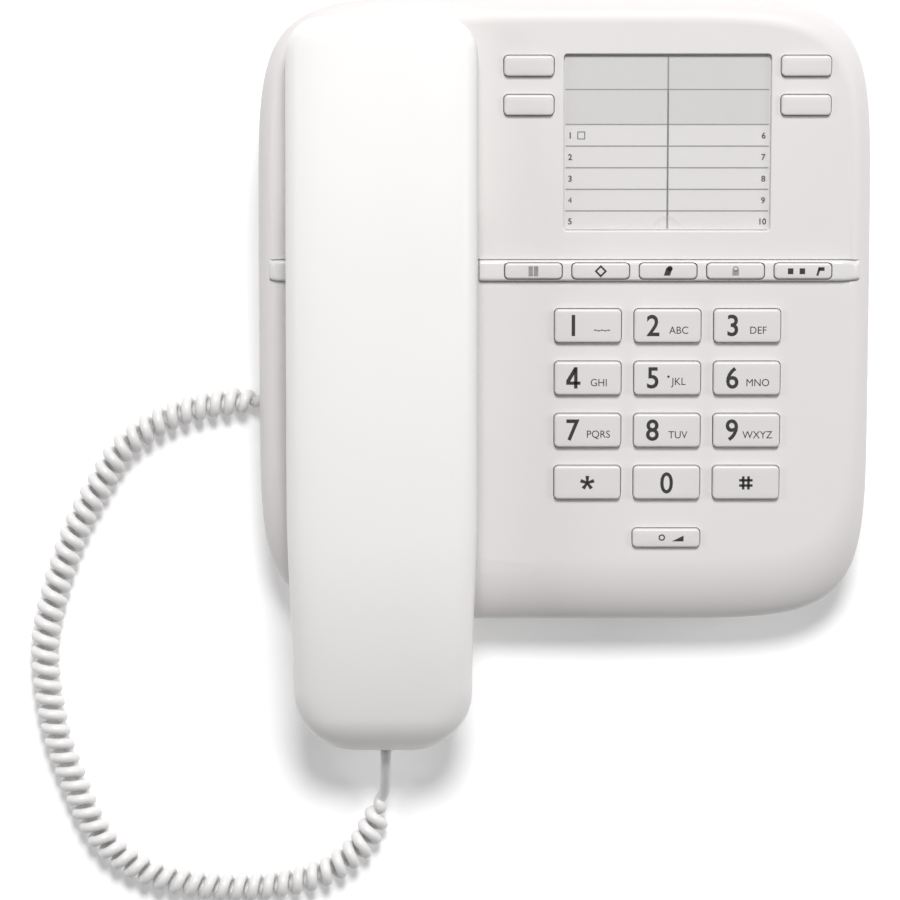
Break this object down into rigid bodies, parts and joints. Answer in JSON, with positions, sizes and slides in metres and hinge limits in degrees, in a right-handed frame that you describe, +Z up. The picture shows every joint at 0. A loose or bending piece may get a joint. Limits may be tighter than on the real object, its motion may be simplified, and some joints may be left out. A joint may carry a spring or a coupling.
{
  "type": "corded desk telephone",
  "caption": "Corded desk telephone: sloping push-button base with index window, lift-off handset in a side cradle and a curly cord.",
  "frame": {"origin": "on the table under the middle of the telephone's outline, without its cord", "axes": "+X right and +Y to the rear as seen by the user, +Z up"},
  "size_m": [0.2331, 0.2505, 0.0621],
  "materials": {
    "housing_plastic": "fine satin texture",
    "handset_plastic": "satin",
    "key_plastic": "satin",
    "trim_plastic": "satin",
    "rubber_feet": "matt",
    "screw_steel": "zinc plated",
    "spring_steel": "bright",
    "board_laminate": "solder mask",
    "part_black": "moulded",
    "silicone_mat": "matt",
    "card_paper": "printed card",
    "window_clear": "clear",
    "plug_clear": "clear",
    "capsule_metal": "satin",
    "ballast_steel": "rough",
    "wire_copper": "insulated",
    "cord_white": "satin"
  },
  "bodies": {
    "base": {"upper_shell": "housing_plastic", "lower_shell": "housing_plastic", "rubber_feet": "rubber_feet", "housing_screws": "screw_steel", "main_board": "board_laminate", "board_parts": "part_black", "board_screws": "screw_steel", "keypad_mat": "silicone_mat", "memory_mats": "silicone_mat", "index_card": "card_paper", "function_bar": "trim_plastic", "hook_spring": "spring_steel", "hook_switch": "part_black", "base_jack": "part_black", "line_jack": "part_black", "ringer": "part_black", "cord_lead_handset": "cord_white", "cord_coil": "cord_white", "cord_lead_base": "cord_white", "plug_base": "plug_clear"},
    "handset": {"handset_outer_shell": "handset_plastic", "handset_inner_shell": "handset_plastic", "ear_speaker": "capsule_metal", "ear_gasket": "rubber_feet", "microphone": "capsule_metal", "microphone_boot": "rubber_feet", "ballast_bar": "ballast_steel", "handset_jack": "part_black", "handset_wires": "wire_copper", "handset_screws": "screw_steel", "plug_handset": "plug_clear"},
    "index_window": {"index_window": "window_clear"},
    "hook_plunger": {"hook_plunger": "key_plastic"},
    "key_1": {"key_1": "key_plastic"},
    "key_2": {"key_2": "key_plastic"},
    "key_3": {"key_3": "key_plastic"},
    "key_4": {"key_4": "key_plastic"},
    "key_5": {"key_5": "key_plastic"},
    "key_6": {"key_6": "key_plastic"},
    "key_7": {"key_7": "key_plastic"},
    "key_8": {"key_8": "key_plastic"},
    "key_9": {"key_9": "key_plastic"},
    "key_star": {"key_star": "key_plastic"},
    "key_0": {"key_0": "key_plastic"},
    "key_hash": {"key_hash": "key_plastic"},
    "volume_key": {"volume_key": "key_plastic"},
    "function_key_1": {"function_key_1": "key_plastic"},
    "function_key_2": {"function_key_2": "key_plastic"},
    "function_key_3": {"function_key_3": "key_plastic"},
    "function_key_4": {"function_key_4": "key_plastic"},
    "function_key_5": {"function_key_5": "key_plastic"},
    "memory_key_1": {"memory_key_1": "key_plastic"},
    "memory_key_2": {"memory_key_2": "key_plastic"},
    "memory_key_3": {"memory_key_3": "key_plastic"},
    "memory_key_4": {"memory_key_4": "key_plastic"}
  },
  "joints": [
    {"name": "handset_lift", "type": "slide", "parent": "base", "child": "handset", "axis": [0, 0, 1], "range_m": [0, 0.08]},
    {"name": "hook_rise", "type": "slide", "parent": "base", "child": "hook_plunger", "axis": [0, 0, 1], "range_m": [0, 0.005], "deforming": ["hook_spring"]},
    {"name": "window_lift", "type": "slide", "parent": "base", "child": "index_window", "axis": [0, -0.1478, 0.989], "range_m": [0, 0.015]},
    {"name": "key_1_press", "type": "slide", "parent": "base", "child": "key_1", "axis": [0, 0.1478, -0.989], "range_m": [0, 0.0012], "stiffness_N_per_m": 300, "springref_m": -0.0005},
    {"name": "key_2_press", "type": "slide", "parent": "base", "child": "key_2", "axis": [0, 0.1478, -0.989], "range_m": [0, 0.0012], "stiffness_N_per_m": 300, "springref_m": -0.0005},
    {"name": "key_3_press", "type": "slide", "parent": "base", "child": "key_3", "axis": [0, 0.1478, -0.989], "range_m": [0, 0.0012], "stiffness_N_per_m": 300, "springref_m": -0.0005},
    {"name": "key_4_press", "type": "slide", "parent": "base", "child": "key_4", "axis": [0, 0.1478, -0.989], "range_m": [0, 0.0012], "stiffness_N_per_m": 300, "springref_m": -0.0005},
    {"name": "key_5_press", "type": "slide", "parent": "base", "child": "key_5", "axis": [0, 0.1478, -0.989], "range_m": [0, 0.0012], "stiffness_N_per_m": 300, "springref_m": -0.0005},
    {"name": "key_6_press", "type": "slide", "parent": "base", "child": "key_6", "axis": [0, 0.1478, -0.989], "range_m": [0, 0.0012], "stiffness_N_per_m": 300, "springref_m": -0.0005},
    {"name": "key_7_press", "type": "slide", "parent": "base", "child": "key_7", "axis": [0, 0.1478, -0.989], "range_m": [0, 0.0012], "stiffness_N_per_m": 300, "springref_m": -0.0005},
    {"name": "key_8_press", "type": "slide", "parent": "base", "child": "key_8", "axis": [0, 0.1478, -0.989], "range_m": [0, 0.0012], "stiffness_N_per_m": 300, "springref_m": -0.0005},
    {"name": "key_9_press", "type": "slide", "parent": "base", "child": "key_9", "axis": [0, 0.1478, -0.989], "range_m": [0, 0.0012], "stiffness_N_per_m": 300, "springref_m": -0.0005},
    {"name": "key_star_press", "type": "slide", "parent": "base", "child": "key_star", "axis": [0, 0.1478, -0.989], "range_m": [0, 0.0012], "stiffness_N_per_m": 300, "springref_m": -0.0005},
    {"name": "key_0_press", "type": "slide", "parent": "base", "child": "key_0", "axis": [0, 0.1478, -0.989], "range_m": [0, 0.0012], "stiffness_N_per_m": 300, "springref_m": -0.0005},
    {"name": "key_hash_press", "type": "slide", "parent": "base", "child": "key_hash", "axis": [0, 0.1478, -0.989], "range_m": [0, 0.0012], "stiffness_N_per_m": 300, "springref_m": -0.0005},
    {"name": "volume_key_press", "type": "slide", "parent": "base", "child": "volume_key", "axis": [0, 0.1478, -0.989], "range_m": [0, 0.0012], "stiffness_N_per_m": 300, "springref_m": -0.0005},
    {"name": "function_key_1_press", "type": "slide", "parent": "base", "child": "function_key_1", "axis": [0, 0.1478, -0.989], "range_m": [0, 0.0012], "stiffness_N_per_m": 300, "springref_m": -0.0005},
    {"name": "function_key_2_press", "type": "slide", "parent": "base", "child": "function_key_2", "axis": [0, 0.1478, -0.989], "range_m": [0, 0.0012], "stiffness_N_per_m": 300, "springref_m": -0.0005},
    {"name": "function_key_3_press", "type": "slide", "parent": "base", "child": "function_key_3", "axis": [0, 0.1478, -0.989], "range_m": [0, 0.0012], "stiffness_N_per_m": 300, "springref_m": -0.0005},
    {"name": "function_key_4_press", "type": "slide", "parent": "base", "child": "function_key_4", "axis": [0, 0.1478, -0.989], "range_m": [0, 0.0012], "stiffness_N_per_m": 300, "springref_m": -0.0005},
    {"name": "function_key_5_press", "type": "slide", "parent": "base", "child": "function_key_5", "axis": [0, 0.1478, -0.989], "range_m": [0, 0.0012], "stiffness_N_per_m": 300, "springref_m": -0.0005},
    {"name": "memory_key_1_press", "type": "slide", "parent": "base", "child": "memory_key_1", "axis": [0, 0.1478, -0.989], "range_m": [0, 0.0012], "stiffness_N_per_m": 300, "springref_m": -0.0005},
    {"name": "memory_key_2_press", "type": "slide", "parent": "base", "child": "memory_key_2", "axis": [0, 0.1478, -0.989], "range_m": [0, 0.0012], "stiffness_N_per_m": 300, "springref_m": -0.0005},
    {"name": "memory_key_3_press", "type": "slide", "parent": "base", "child": "memory_key_3", "axis": [0, 0.1478, -0.989], "range_m": [0, 0.0012], "stiffness_N_per_m": 300, "springref_m": -0.0005},
    {"name": "memory_key_4_press", "type": "slide", "parent": "base", "child": "memory_key_4", "axis": [0, 0.1478, -0.989], "range_m": [0, 0.0012], "stiffness_N_per_m": 300, "springref_m": -0.0005}
  ],
  "couplings": [
    {"joint": "hook_rise", "follows": "handset_lift", "ratio": 0.0625}
  ]
}
